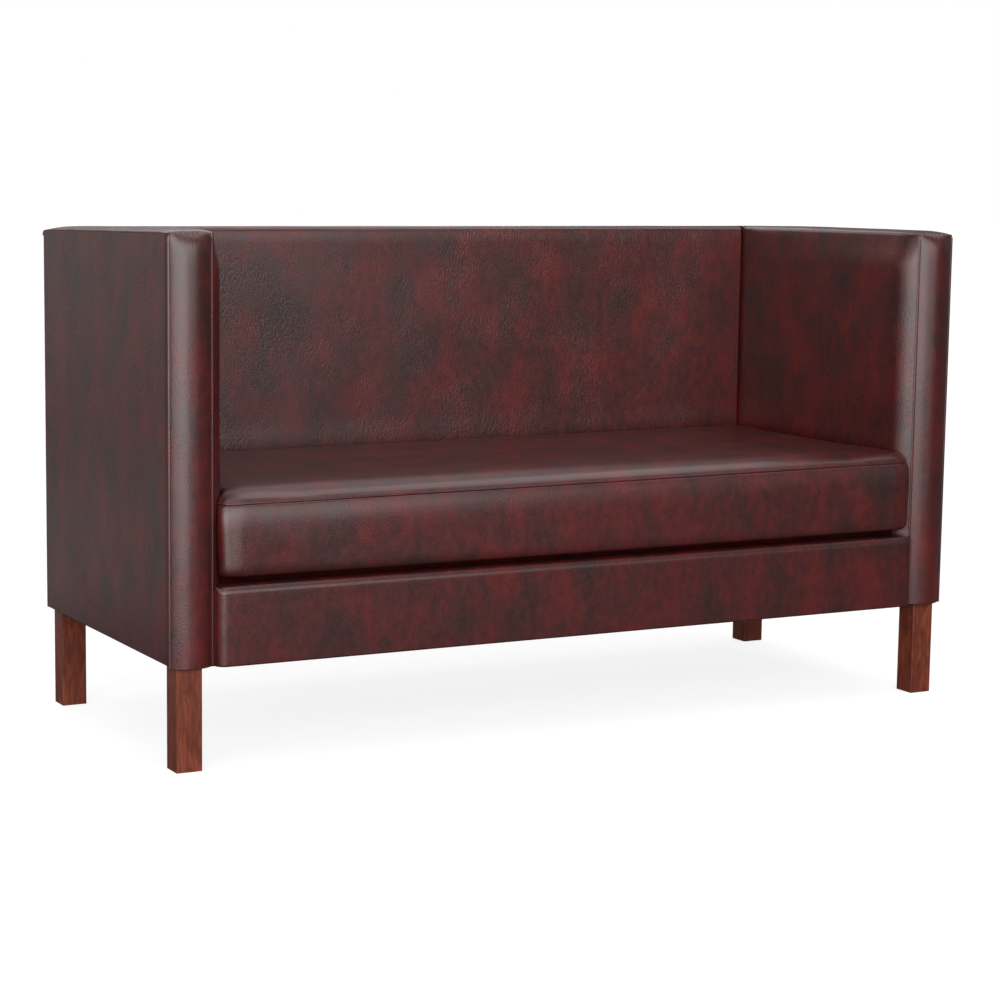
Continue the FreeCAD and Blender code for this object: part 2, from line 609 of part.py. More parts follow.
# Loose seat cushion: a foam core in a leather cover of top panel, boxing and bottom panel
cushion_outer = doc.addObject("Part::Feature", "cushion_outer")
cushion_outer.Shape = cushion_form(0)
cushion_foam = doc.addObject("Part::Feature", "cushion_core")
cushion_foam.Shape = cushion_form(size("leather"))
keep(cushion_foam, "cushion_foam")
cushion_skin = cut("cushion_skin", cushion_outer, cushion_foam)
wide = ("-" + SIDE, SIDE)
deep = ("-" + REAR, REAR)
for label, low, high in (("cushion_bottom_panel", "0", BOXING_LOW),
                         ("cushion_boxing", BOXING_LOW, "seam_height"),
                         ("cushion_top_panel", "seam_height", "top_front")):
    keep(common(label + "_skin", cushion_skin, block(label + "_zone", wide, deep, (low, high))),
         label)

# Zip in the rear boxing: a woven tape with its teeth, and a slider without a pull
ZIP_FACE = "(%s - cushion_back_gap - zip_room)" % BACK_INNER
TAPE_FACE = "(%s + zip_tape)" % ZIP_FACE
TEETH_FACE = "(%s + zip_teeth)" % TAPE_FACE
tape = block("zip_tape_strip", ("-zip_half_length", "zip_half_length"), (ZIP_FACE, TAPE_FACE),
             ("%s - zip_tape_width / 2" % ZIP_HEIGHT, "%s + zip_tape_width / 2" % ZIP_HEIGHT))
teeth = block("zip_teeth_strip", ("-zip_half_length", "zip_half_length"), (TAPE_FACE, TEETH_FACE),
              ("%s - zip_teeth_width / 2" % ZIP_HEIGHT, "%s + zip_teeth_width / 2" % ZIP_HEIGHT))
zip_strip = doc.addObject("Part::Fuse", "zip_strip")
zip_strip.Base = tape
zip_strip.Tool = teeth
keep(zip_strip, "zip_tape")

slider_x = ("zip_half_length - zip_stop - slider_length", "zip_half_length - zip_stop")
slider_case = block("slider_case", slider_x,
                    ("%s + slider_gap" % TAPE_FACE, "%s + slider_gap + slider_wall" % TEETH_FACE),
                    ("%s - slider_width / 2" % ZIP_HEIGHT, "%s + slider_width / 2" % ZIP_HEIGHT))
slider_slot = block("slider_slot", slider_x, (TAPE_FACE, "%s + slider_gap" % TEETH_FACE),
                    ("%s - zip_teeth_width / 2 - slider_gap" % ZIP_HEIGHT,
                     "%s + zip_teeth_width / 2 + slider_gap" % ZIP_HEIGHT))
keep(cut("slider_body", slider_case, slider_slot), "zip_slider")

doc.recompute()
for item in doc.Objects:
    if "Invalid" in item.State or "Error" in item.State:
        raise RuntimeError("%s did not build: %s" % (item.Name, item.State))
for item in nodes:
    if item.Shape.isNull() or not item.Shape.isValid() or item.Shape.Volume <= 0:
        raise RuntimeError("%s has no valid shape" % item.Label)
    item.Shape.exportStep("parts/%s.step" % item.Label)
print("%d sub-parts written" % len(nodes))
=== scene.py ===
import math

import bmesh
import bpy
import numpy as np
from mathutils import Matrix, Vector


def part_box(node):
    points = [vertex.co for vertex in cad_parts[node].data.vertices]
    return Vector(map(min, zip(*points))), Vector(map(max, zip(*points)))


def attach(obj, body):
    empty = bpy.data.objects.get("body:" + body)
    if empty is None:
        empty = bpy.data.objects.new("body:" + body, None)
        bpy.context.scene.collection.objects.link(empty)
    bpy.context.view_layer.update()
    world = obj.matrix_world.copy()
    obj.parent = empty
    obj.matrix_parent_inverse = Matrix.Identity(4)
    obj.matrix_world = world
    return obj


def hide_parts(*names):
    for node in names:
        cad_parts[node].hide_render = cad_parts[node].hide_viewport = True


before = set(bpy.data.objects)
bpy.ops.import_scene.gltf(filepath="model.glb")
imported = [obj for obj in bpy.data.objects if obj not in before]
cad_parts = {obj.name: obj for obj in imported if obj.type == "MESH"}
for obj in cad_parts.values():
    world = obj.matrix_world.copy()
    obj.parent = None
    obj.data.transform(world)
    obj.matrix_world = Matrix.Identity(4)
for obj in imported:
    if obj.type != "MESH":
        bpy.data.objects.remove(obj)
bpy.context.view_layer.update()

bpy.ops.object.select_all(action="DESELECT")


# Outside arms: one flat hide over fibreboard on each side. It is seamed to the front and top
# bands, turned round the bottom rail and stapled there, so its edges dip into every seam.
arm_low, arm_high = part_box("outside_arm_cover_right")
side_face = arm_high.x
seam_front, rear_face = arm_low.y, arm_high.y
hem_height = arm_low.z
top_front = arm_high.z
top_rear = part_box("outside_back_cover")[1].z
leather_thick = side_face - arm_low.x
seam_radius = 0.0022
corner_radius = 0.009
staple_roll = 0.003
rear_corner_roll = 0.006
face_slack = 0.0003


def linear(colour):
    """An sRGB hex colour as linear red, green, blue and alpha."""
    shares = [int(colour[place:place + 2], 16) / 255 for place in (1, 3, 5)]
    return tuple(s / 12.92 if s <= 0.04045 else ((s + 0.055) / 1.055) ** 2.4
                 for s in shares) + (1.0,)


def add_node(tree, kind, sockets=None, **settings):
    """Adds a node with its settings, and sets or links its sockets."""
    node = tree.nodes.new(kind)
    for name, value in settings.items():
        setattr(node, name, value)
    for name, value in (sockets or {}).items():
        if isinstance(value, bpy.types.NodeSocket):
            tree.links.new(value, node.inputs[name])
        else:
            node.inputs[name].default_value = value
    return node


def bare_material(name):
    """A new material: itself, its node tree, its output and its coordinates on the object."""
    material = bpy.data.materials.new(name)
    material.use_nodes = True
    tree = material.node_tree
    tree.nodes.clear()
    output = add_node(tree, "ShaderNodeOutputMaterial")
    here = add_node(tree, "ShaderNodeTexCoord").outputs["Object"]
    return material, tree, output, here


def antiqued_leather(name, place, crinkle=0.7):
    """Corrected-grain cowhide, wiped with dark antiquing stain over an oxblood dye, satin topcoat.

    The stain pools in clouds a hand wide. Pebbles are drawn 2.4 mm wide, twice their real size,
    so that they show. Patches of long creases follow the drop of the hide, and crinkle says how
    deep they are: shallow on a hide that is drawn tight, deeper on a wide one.
    """
    material, tree, output, here = bare_material(name)
    hide = add_node(tree, "ShaderNodeMapping", {"Vector": here, "Location": place}).outputs[0]
    drop = add_node(tree, "ShaderNodeMapping", {"Vector": hide, "Scale": (1, 1, 0.62)}).outputs[0]
    clouds = add_node(tree, "ShaderNodeTexNoise", {
        "Vector": drop, "Scale": 16, "Detail": 3.0, "Roughness": 0.5,
        "Distortion": 0.3}).outputs["Fac"]
    dabs = add_node(tree, "ShaderNodeTexNoise", {
        "Vector": drop, "Scale": 75, "Detail": 5.0, "Roughness": 0.68,
        "Distortion": 0.3}).outputs["Fac"]
    stain = add_node(tree, "ShaderNodeMix", {"Factor": 0.42, 2: clouds, 3: dabs}).outputs[0]
    colour = add_node(tree, "ShaderNodeValToRGB", {"Fac": stain})
    ramp = colour.color_ramp
    ramp.interpolation = "B_SPLINE"
    for share, shade in ((0.34, "#26110f"), (0.44, "#35100f"), (0.54, "#440f0e"),
                         (0.66, "#56100e")):
        ramp.elements.new(share).color = linear(shade)
    ramp.elements.remove(ramp.elements[0])
    ramp.elements.remove(ramp.elements[-1])
    pebbles = add_node(tree, "ShaderNodeTexVoronoi", {
        "Vector": hide, "Scale": 420, "Smoothness": 0.6}, feature="SMOOTH_F1").outputs["Distance"]
    long_way = add_node(tree, "ShaderNodeMapping", {
        "Vector": hide, "Scale": (1, 1, 0.35)}).outputs[0]
    wander = add_node(tree, "ShaderNodeTexNoise", {
        "Vector": long_way, "Scale": 60, "Detail": 2.0}).outputs["Color"]
    wander = add_node(tree, "ShaderNodeVectorMath", {
        0: wander, 1: (0.012, 0.012, 0.012), 2: long_way}, operation="MULTIPLY_ADD").outputs[0]
    cells = add_node(tree, "ShaderNodeTexVoronoi", {
        "Vector": wander, "Scale": 210}, feature="DISTANCE_TO_EDGE").outputs["Distance"]
    creases = add_node(tree, "ShaderNodeMapRange", {
        "Value": cells, "From Max": 0.16, "To Min": -1.0, "To Max": 0.0}).outputs[0]
    where = add_node(tree, "ShaderNodeTexNoise", {
        "Vector": hide, "Scale": 11, "Detail": 2.0}).outputs["Fac"]
    creased = add_node(tree, "ShaderNodeMapRange", {
        "Value": where, "From Min": 0.42, "From Max": 0.62, "To Max": crinkle}).outputs[0]
    folds = add_node(tree, "ShaderNodeMath", {0: creases, 1: creased},
                     operation="MULTIPLY").outputs[0]
    height = add_node(tree, "ShaderNodeMath", {0: pebbles, 1: 0.5, 2: folds},
                      operation="MULTIPLY_ADD").outputs[0]
    bump = add_node(tree, "ShaderNodeBump", {
        "Height": height, "Strength": 0.28, "Distance": 0.0009}).outputs[0]
    polish = add_node(tree, "ShaderNodeMapRange", {
        "Value": dabs, "From Min": 0.3, "From Max": 0.7, "To Min": 0.31, "To Max": 0.39}).outputs[0]
    surface = add_node(tree, "ShaderNodeBsdfPrincipled", {
        "Base Color": colour.outputs["Color"], "Roughness": polish, "Normal": bump, "IOR": 1.58})
    tree.links.new(surface.outputs[0], output.inputs["Surface"])
    return material


def grid_lines(low, high, step, near=0.007, fine=0.0006):
    """Places from low to high, fine near both ends and a step apart between."""
    edge = np.concatenate([np.arange(0, near, fine), np.linspace(near, 4 * near, 8)])
    count = max(2, int(round((high - low - 8 * near) / step)))
    middle = np.linspace(low + 4 * near, high - 4 * near, count + 1)
    return np.concatenate([low + edge[:-1], middle, (high - edge[:-1])[::-1]])


def seam_dip(distance, radius=seam_radius):
    """How deep leather rolls into a seam at a distance from it."""
    share = np.clip(1 - distance / radius, 0, 1)
    return radius * (1 - np.sqrt(1 - share ** 2))


def ease(share):
    """A smooth step from nought to one."""
    share = np.clip(share, 0, 1)
    return share * share * (3 - 2 * share)


def soft_waves(first, second, seed, length, height):
    """Gentle unevenness of leather over padding, from a few crossing waves."""
    pick = np.random.default_rng(seed)
    total = np.zeros(np.broadcast(first, second).shape)
    for _ in range(9):
        turn, phase = pick.uniform(0, math.tau, 2)
        pace = math.tau / (length * pick.uniform(0.6, 1.6))
        total += np.sin(pace * (first * math.cos(turn) + second * math.sin(turn)) + phase)
    return height * total / 9


def sewn_cover(name, x, y, z, thick=leather_thick, flip=False):
    """A leather cover from a grid of points, with its thickness behind its face."""
    rows, columns = np.broadcast(x, y, z).shape
    points = np.stack([np.broadcast_to(part, (rows, columns)) for part in (x, y, z)], -1)
    start = np.arange((rows - 1) * (columns - 1))
    start = start + start // (columns - 1)
    faces = np.stack([start, start + 1, start + columns + 1, start + columns], -1)
    if flip:
        faces = faces[:, ::-1]
    mesh = bpy.data.meshes.new(name)
    mesh.from_pydata(points.reshape(-1, 3).tolist(), [], faces.tolist())
    piece = bpy.data.objects.new(name, mesh)
    bpy.context.scene.collection.objects.link(piece)
    wall = piece.modifiers.new("thickness", "SOLIDIFY")
    wall.thickness = thick
    wall.offset = -1
    bpy.context.view_layer.objects.active = piece
    bpy.ops.object.modifier_apply(modifier=wall.name)
    piece.select_set(True)
    bpy.ops.object.shade_smooth_by_angle(angle=math.radians(60))
    piece.select_set(False)
    return piece


def upholster(piece, material, *nodes, body="settee", fill=None):
    """Gives a leather piece its hide, its body and the CAD nodes that it stands for."""
    piece.data.materials.append(material)
    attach(piece, body)
    if nodes:
        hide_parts(*nodes)


def roll(share):
    """A quarter round from nought to one, steep at first."""
    share = np.clip(share, 0, 1)
    return np.sqrt(share * (2 - share))


def top_seam(y, side=0):
    """Height of the sloping seam along the top. The right arm is sewn lower at its front."""
    slope = (top_front - top_rear) * (y - seam_front) / (rear_face - seam_front)
    return top_front - slope - (side > 0) * 0.006 * np.clip((0.15 - y) / 0.43, 0, 1) ** 1.2


outside_leather = antiqued_leather("antiqued_leather_outside", (0.0, 0.0, 0.0))
along = grid_lines(seam_front, rear_face, 0.009)
up = grid_lines(0, 1, 0.013, 0.008, 0.0008)
for side, word in ((1, "right"), (-1, "left")):
    y, share = np.meshgrid(along, up)
    from_end = np.minimum(rear_face - y, y - seam_front)
    top = top_seam(y, side) - corner_radius * (1 - roll(from_end / corner_radius))
    z = hem_height + (top - hem_height) * share
    inset = (seam_dip(y - seam_front) + seam_dip(rear_face - y, rear_corner_roll)
             + seam_dip(top - z) + seam_dip(z - hem_height, staple_roll)
             + 0.0012 * (1 - ease((y - seam_front) / 0.014)))
    x = side * (side_face - inset - face_slack + soft_waves(y, z, 3 + side, 0.24, face_slack))
    cover = sewn_cover("outside_arm_leather_" + word, x, y, z, flip=side < 0)
    upholster(cover, outside_leather, "outside_arm_cover_" + word)


# Outside back: one wide hide over fibreboard between the two outside arms. It is seamed down
# both rear corners and along the top band, and turned under the rear rail.
across = grid_lines(-side_face, side_face, 0.015)
x, share = np.meshgrid(across, up)
top = top_rear - corner_radius * (1 - roll((side_face - abs(x)) / corner_radius))
z = hem_height + (top - hem_height) * share
inset = (seam_dip(side_face - abs(x), rear_corner_roll) + seam_dip(top - z)
         + seam_dip(z - hem_height, staple_roll))
y = rear_face - inset - face_slack + soft_waves(x, z, 11, 0.3, face_slack)
cover = sewn_cover("outside_back_leather", x, y, z, flip=True)
upholster(cover, outside_leather, "outside_back_cover")


# Front bands: a narrow padded panel down the face of each arm, domed over its foam. Both long
# seams are turned to the band side and topstitched, which leaves a low ridge beside each.
band_low, band_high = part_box("front_band_cover_right")
band_inner, band_outer = band_low.x, band_high.x
band_crown = seam_front - band_low.y
band_hem = band_low.z
band_thick = 0.004
stitch_offset = 0.0047
ridge_height = 0.0013
stitch_pitch = 0.005
stitch_rows = 300
pucker_width = 0.0046
pucker_reach = 0.009


def puckers(x):
    """Small gathers across a seam, a little uneven in their width."""
    return np.sin(x * math.tau / pucker_width + 2.2 * np.sin(x * 260))


def ridge(distance):
    """Height of a topstitched seam allowance, which slopes up from the seam to the thread."""
    raised = np.sin(np.clip(distance / 0.0036, 0, 1) * math.pi / 2)
    return ridge_height * raised * (1 - ease((distance - 0.0035) / 0.0012))


def band_top(x, side):
    """Height of the front band's upper seam, rounded down at the arm's outer corner."""
    return top_seam(seam_front, side) - corner_radius * (1 - roll((band_outer - x) / corner_radius))


def band_face(x, z, side):
    """Depth of the front band's leather at a place on the arm's face."""
    middle = (band_inner + band_outer) / 2
    half = (band_outer - band_inner) / 2 - stitch_offset
    share = np.clip(abs(x - middle) / half, 0, 1)
    edge = np.minimum(x - band_inner, band_outer - x)
    to_top = band_top(x, side) - z
    dome = (1 - share ** 2) ** 0.9
    puff = dome * (1 - np.exp(-to_top / 0.011))
    gather = puckers(x) * np.exp(-to_top / pucker_reach)
    rise = (band_crown - 0.001) * puff + ridge(edge) * ease(to_top / 0.01)
    rise = rise + 0.0006 * gather * roll(edge / 0.012)
    rise = rise + soft_waves(x, z * 0.6, 21 + side, 0.09, 0.0005) * dome
    dip = seam_dip(edge, 0.0007) + seam_dip(to_top, 0.0015) + seam_dip(z - band_hem, 0.001)
    return seam_front - rise + dip - 0.0007


def stitches(name, points, outward, colour):
    """A row of short thread stitches along a line, half sunk in the leather."""
    points = np.asarray(points, float)
    steps = np.linalg.norm(np.diff(points, axis=0), axis=1)
    run = np.concatenate([[0], np.cumsum(steps)])
    middles = np.arange(stitch_pitch, run[-1] - stitch_pitch, stitch_pitch)
    places = np.stack([np.interp(middles, run, points[:, axis]) for axis in range(3)], -1)
    ahead = np.stack([np.interp(middles + 0.0005, run, points[:, axis]) for axis in range(3)], -1)
    heading = ahead - places
    heading /= np.linalg.norm(heading, axis=1)[:, None]
    normal = np.broadcast_to(np.asarray(outward, float), places.shape)
    beside = np.cross(heading, normal)
    beside /= np.linalg.norm(beside, axis=1)[:, None]
    normal = np.cross(beside, heading)
    half, thread = stitch_pitch * 0.36, 0.00042
    rings = [(-half, 0.25), (-half * 0.6, 0.9), (half * 0.6, 0.9), (half, 0.25)]
    turns = np.arange(6) * math.tau / 6
    corners, faces = [], []
    for reach, wide in rings:
        for turn in turns:
            corners.append(places + heading * reach + beside * thread * wide * math.cos(turn)
                           + normal * thread * wide * math.sin(turn))
    count = len(places)
    for ring in range(3):
        for turn in range(6):
            nearby = (turn + 1) % 6
            faces.append([ring * 6 + turn, ring * 6 + nearby, ring * 6 + 6 + nearby,
                          ring * 6 + 6 + turn])
    faces += [list(range(5, -1, -1)), list(range(18, 24))]
    vertices = np.stack(corners, 1).reshape(-1, 3)
    all_faces = [[corner + 24 * number for corner in face] for number in range(count)
                 for face in faces]
    mesh = bpy.data.meshes.new(name)
    mesh.from_pydata(vertices.tolist(), [], all_faces)
    row = bpy.data.objects.new(name, mesh)
    bpy.context.scene.collection.objects.link(row)
    bpy.context.view_layer.objects.active = row
    row.data.shade_smooth()
    row.data.materials.append(colour)
    return row


def waxed_thread(name):
    """Bonded polyester thread, waxed, dyed a little darker than the hide."""
    material, tree, output, here = bare_material(name)
    twist = add_node(tree, "ShaderNodeTexNoise", {"Vector": here, "Scale": 900}).outputs["Fac"]
    colour = add_node(tree, "ShaderNodeValToRGB", {"Fac": twist})
    colour.color_ramp.elements[0].color = linear("#1a0a0a")
    colour.color_ramp.elements[1].color = linear("#3c1514")
    surface = add_node(tree, "ShaderNodeBsdfPrincipled", {
        "Base Color": colour.outputs["Color"], "Roughness": 0.55, "IOR": 1.5})
    tree.links.new(surface.outputs[0], output.inputs["Surface"])
    return material


thread = waxed_thread("waxed_polyester_thread")
band_leather = antiqued_leather("antiqued_leather_bands", (3.1, 1.7, 0.4), 0.25)
across = grid_lines(band_inner, band_outer, 0.0009, 0.0066, 0.0005)
up = np.concatenate([np.arange(0, 0.012, 0.0012), np.linspace(0.012, 0.955, 170),
                     np.linspace(0.957, 1, 36)])
for side, word in ((1, "right"), (-1, "left")):
    x, share = np.meshgrid(across, up)
    z = band_hem + (band_top(x, side) - band_hem) * share
    y = band_face(x, z, side)
    cover = sewn_cover("front_band_leather_" + word, side * x, y, z, thick=band_thick,
                       flip=side < 0)
    upholster(cover, band_leather, "front_band_cover_" + word, "front_band_pad_" + word, fill=0.8)
    for edge, line in (("outer", band_outer - stitch_offset),
                       ("inner", band_inner + stitch_offset)):
        heights = np.linspace(band_hem + 0.006, top_front - 0.016, stitch_rows)
        places = np.full(stitch_rows, line)
        row = stitches("front_band_%s_stitches_%s" % (edge, word),
                       np.stack([side * places, band_face(places, heights, side), heights], -1),
                       (0, -1, 0), thread)
        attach(row, "settee")


# Arm top bands: a hide over a thin foam strip on the top of each arm. It is seamed all round, so
# it is plump along its middle and thins out at its ends, and it narrows towards the front.
back_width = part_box("back_top_cover")[1].x
back_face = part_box("back_top_cover")[0].y
top_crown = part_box("back_top_cover")[1].z - top_seam(back_face)
knee_run = 0.05
knee_gain = 0.024
knee_taper = 0.06
lid_overlap = 0.0008
lid_drop = 0.0012
lid_slack = 0.0006


def arm_line(y, to_top=1.0):
    """Distance of the inside arm's face from the settee's middle. Its top edge leans back."""
    fullness = 0.4 + 0.6 * ease(to_top / knee_taper)
    swell = knee_gain * (1 - (1 - np.clip((y - seam_front) / knee_run, 0, 1)) ** 2.7) * fullness
    flat_part = (knee_gain * (1 - fullness) + band_inner - knee_gain - back_width)
    beyond = np.clip((y - seam_front) / (back_face - seam_front), 0, 1)
    lean = 0.004 * (1 - roll(to_top / 0.022)) * ease((back_face - y) / 0.04)
    return band_inner - swell - flat_part * beyond + lean * ease((y - seam_front) / 0.03)


lid_leather = antiqued_leather("antiqued_leather_lids", (5.3, 2.2, 1.9))
deep = grid_lines(0, 1, 0.011, 0.012, 0.0011)
wide = grid_lines(0, 1, 0.05, 0.03, 0.006)
for side, word in ((1, "right"), (-1, "left")):
    depth, share = np.meshgrid(deep, wide)
    y = seam_front - lid_overlap + (rear_face - seam_front + lid_overlap) * depth
    inner = arm_line(y, 0.0)
    x = inner + (side_face - inner) * share
    from_inner, from_outer = x - inner, side_face - x
    from_front, from_rear = y - seam_front + lid_overlap, rear_face - y
    edge = roll(np.minimum(from_inner, from_outer) / 0.026)
    joined = ease((y - back_face + 0.01) / 0.02) * (share < 0.5)
    edge = np.maximum(edge, joined)
    plump = edge * roll(from_front / 0.05) * roll(from_rear / (0.019 + 0.12 * share ** 2))
    corner = np.minimum(from_front, from_rear) + from_outer
    z = top_seam(y, side) - corner_radius * (1 - roll(corner / corner_radius))
    z = z - lid_drop * (1 - plump) + (top_crown - lid_slack) * plump
    gather = puckers(x) * np.exp(-from_front / 0.006)
    z = z + 0.0004 * gather * roll(from_front / 0.004)
    z = z + soft_waves(x, y, 31 + side, 0.12, 0.0005) * plump
    cover = sewn_cover("arm_top_leather_" + word, side * x, y, z, flip=side > 0)
    upholster(cover, lid_leather, "arm_top_cover_" + word, "arm_top_pad_" + word, fill=0.7)


# Back top band: the same thin padded lid along the back, between the two arm lids. Its front
# edge leans back a little, as the inside back's hide pulls it over.
back_lean = 0.0035
x, depth = np.meshgrid(grid_lines(-back_width, back_width, 0.016),
                       grid_lines(0, 1, 0.05, 0.03, 0.005))
y = back_face + back_lean + (rear_face - back_face - back_lean) * depth
from_side = np.minimum(y - back_face - back_lean, rear_face - y)
edge = roll(from_side / 0.02)
z = top_seam(y) + (top_crown - lid_slack) * edge - lid_drop + lid_drop * edge
z = z - seam_dip(back_width - abs(x), 0.0015) + soft_waves(x, y, 37, 0.16, 0.0004) * edge
cover = sewn_cover("back_top_leather", x, y, z)
upholster(cover, lid_leather, "back_top_cover", "back_top_pad", fill=0.7)


# Inside arms: a hide over a foam pad that swells towards the seat and rolls over at its front
# and top seams. Its lower edge goes down behind the cushion to the deck.
pad_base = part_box("inside_arm_cover_right")[0].z + 0.0005
pad_rear = back_face + 0.012
seat_line = 0.45
inside_leather = antiqued_leather("antiqued_leather_inside_arms", (7.7, 4.1, 2.6))


def rows_to_seam(plain, close):
    """Shares of a cover's height from its base, closer together near its top seam."""
    return np.concatenate([np.linspace(0, 0.93, plain), np.linspace(0.935, 0.985, close),
                           np.linspace(0.988, 1, 14)])


along = np.concatenate([seam_front + np.arange(0, 0.03, 0.0007),
                        np.linspace(seam_front + 0.031, seam_front + 0.1, 30),
                        np.linspace(seam_front + 0.106, back_face - 0.004, 60),
                        np.linspace(back_face - 0.002, pad_rear, 8)])
for side, word in ((1, "right"), (-1, "left")):
    y, share = np.meshgrid(along, rows_to_seam(90, 12))
    top = top_seam(y, side)
    z = pad_base + (top - pad_base) * share
    to_top = top - z
    from_front = y - seam_front
    x = arm_line(np.minimum(y, back_face), to_top)
    x = x + seam_dip(to_top, 0.0014) + seam_dip(from_front, 0.0007)
    gather = np.sin((z + 0.6 * y) * math.tau / 0.011) * np.exp(-((from_front - 0.03) / 0.014) ** 2)
    x = x - 0.0006 * gather * np.exp(-((z - 0.462) / 0.016) ** 2)
    above_seat = ease((z - seat_line) / 0.04)
    x = x + (0.0006 + soft_waves(y, z, 41 + side, 0.15, 0.0006)) * above_seat
    cover = sewn_cover("inside_arm_leather_" + word, side * x, y, z, flip=side > 0)
    upholster(cover, inside_leather, "inside_arm_cover_" + word, "inside_arm_pad_" + word, fill=0.8)


# Inside back: one wide hide over a flat foam pad, tucked in beside both arm pads and behind the
# cushion. Light falls along it from the left, which shows the long creases of the hide.
back_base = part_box("inside_back_cover")[0].z + 0.0005
back_leather = antiqued_leather("antiqued_leather_inside_back", (11.2, 6.4, 3.5))
x, share = np.meshgrid(grid_lines(-back_width, back_width, 0.012), rows_to_seam(70, 10))
top = top_seam(back_face)
z = back_base + (top - back_base) * share
y = (back_face + back_lean * (1 - roll((top - z) / 0.025)) + seam_dip(top - z, 0.0014)
     + seam_dip(back_width - abs(x), 0.006) + 0.0002)
above_seat = ease((z - seat_line) / 0.04)
y = y + (0.0008 + soft_waves(x, z, 51, 0.2, 0.0008)) * above_seat
cover = sewn_cover("inside_back_leather", x, y, z)
upholster(cover, back_leather, "inside_back_cover", "back_pad", fill=0.7)


# Apron: a padded hide across the front of the seat rail. Its top rolls back over the rail under
# the cushion, and both its ends are rounded where they tuck in beside the arms.
apron_low, apron_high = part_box("apron_cover")
apron_top = apron_high.z
apron_front = apron_low.y
apron_back = apron_high.y
apron_hem = apron_low.z
deck_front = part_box("seat_deck_pad")[1].z - 0.0008
apron_leather = antiqued_leather("antiqued_leather_apron", (2.4, 9.3, 5.8), 0.35)
roll_radius = 0.014
rise = apron_top - roll_radius - apron_hem
quarter = roll_radius * math.pi / 2
lip = apron_back - apron_front - roll_radius - 0.001
run = np.concatenate([np.arange(0, 0.008, 0.0008), np.linspace(0.008, rise, 26),
                      rise + np.linspace(0.0015, quarter, 12),
                      rise + quarter + np.linspace(0.002, lip, 10)])
arm_gap = 0.0006
half = band_inner + arm_gap
x, along = np.meshgrid(grid_lines(-half, half, 0.012, 0.01, 0.0007), run)
turn = np.clip((along - rise) / roll_radius, 0, math.pi / 2)
y = apron_front + roll_radius * (1 - np.cos(turn)) + np.clip(along - rise - quarter, 0, None)
z = apron_hem + np.minimum(along, rise) + roll_radius * np.sin(turn)
end = half - abs(x)
end_roll = np.where(x > 0, 0.021, 0.016)
draw = 0.0188 * (1 - roll((end - arm_gap) / end_roll)) + seam_dip(along, staple_roll)
draw = draw + 0.0012 * (1 - ease(end / 0.05))
draw = draw + (0.0004 + soft_waves(x, along, 61, 0.2, 0.0005)) * (along < rise + 0.5 * quarter)
draw = np.minimum(draw, seam_front - apron_front - 0.0008)
y = y + draw * np.cos(turn)
z = z - np.minimum(draw, 0.004) * np.sin(turn)
z = z + (deck_front - apron_top) * ease((y - apron_back + 0.014) / 0.006)
arm_side = np.where(y < seam_front, half, arm_line(np.maximum(y, seam_front)) - arm_gap)
x = np.clip(x, -arm_side, arm_side)
cover = sewn_cover("apron_leather", x, y, z)
upholster(cover, apron_leather, "apron_cover", "apron_pad", fill=0.75)


# Seat cushion: a firm foam block in a loose leather cover. The hide is cut as a top panel, a
# boxing strip and a bottom panel. The top seam is topstitched and runs right round the cushion.
seam_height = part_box("cushion_boxing")[1].z
boxing_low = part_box("cushion_boxing")[0].z
deck_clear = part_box("cushion_bottom_panel")[0].z
zip_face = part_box("zip_tape")[0].y
cushion_leather = antiqued_leather("antiqued_leather_cushion", (6.5, 8.2, 7.9), 0.25)
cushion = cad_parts["cushion_foam"].copy()
cushion.data = cushion.data.copy()
cushion.name = "seat_cushion_leather"
for key in [key for key in cushion.keys() if key.startswith("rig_")]:
    del cushion[key]
cushion.parent = None
bpy.context.scene.collection.objects.link(cushion)
cushion.data.materials.clear()
bpy.ops.object.select_all(action="DESELECT")
cushion.select_set(True)
bpy.context.view_layer.objects.active = cushion
bpy.ops.object.mode_set(mode="EDIT")
bpy.ops.mesh.select_all(action="SELECT")
bpy.ops.mesh.remove_doubles(threshold=0.00001)
bpy.ops.object.mode_set(mode="OBJECT")
remesh = cushion.modifiers.new("even_mesh", "REMESH")
remesh.mode = "VOXEL"
remesh.voxel_size = 0.006
bpy.ops.object.modifier_apply(modifier=remesh.name)
smooth = cushion.modifiers.new("smooth", "SMOOTH")
smooth.iterations = 6
bpy.ops.object.modifier_apply(modifier=smooth.name)
rest = np.empty(len(cushion.data.vertices) * 3)
cushion.data.vertices.foreach_get("co", rest)
rest = rest.reshape(-1, 3)
swell_cap = 0.005
smoothing_rounds = 30
cloth = cushion.modifiers.new("leather_over_foam", "CLOTH")
cloth.settings.quality = 4
cloth.settings.use_pressure = True
cloth.settings.uniform_pressure_force = 4
cloth.settings.effector_weights.gravity = 0
cloth.collision_settings.use_collision = False
for number in range(1, 21):
    bpy.context.scene.frame_set(number)
settled = cushion.evaluated_get(bpy.context.evaluated_depsgraph_get())
swollen = np.empty(len(settled.data.vertices) * 3)
settled.data.vertices.foreach_get("co", swollen)
move = swollen.reshape(-1, 3) - rest
cushion.modifiers.remove(cloth)
bpy.context.scene.frame_set(1)
ends = np.empty(len(cushion.data.edges) * 2, dtype=np.int64)
cushion.data.edges.foreach_get("vertices", ends)
first, second = ends.reshape(-1, 2).T
links = np.bincount(np.concatenate([first, second]), minlength=len(rest))[:, None]
for _ in range(smoothing_rounds):
    beside = np.zeros_like(move)
    np.add.at(beside, first, move[second])
    np.add.at(beside, second, move[first])
    move = 0.5 * move + 0.5 * beside / np.maximum(links, 1)
far = np.linalg.norm(move, axis=1)[:, None]
move = move * np.minimum(1, swell_cap / np.maximum(far, 1e-9))
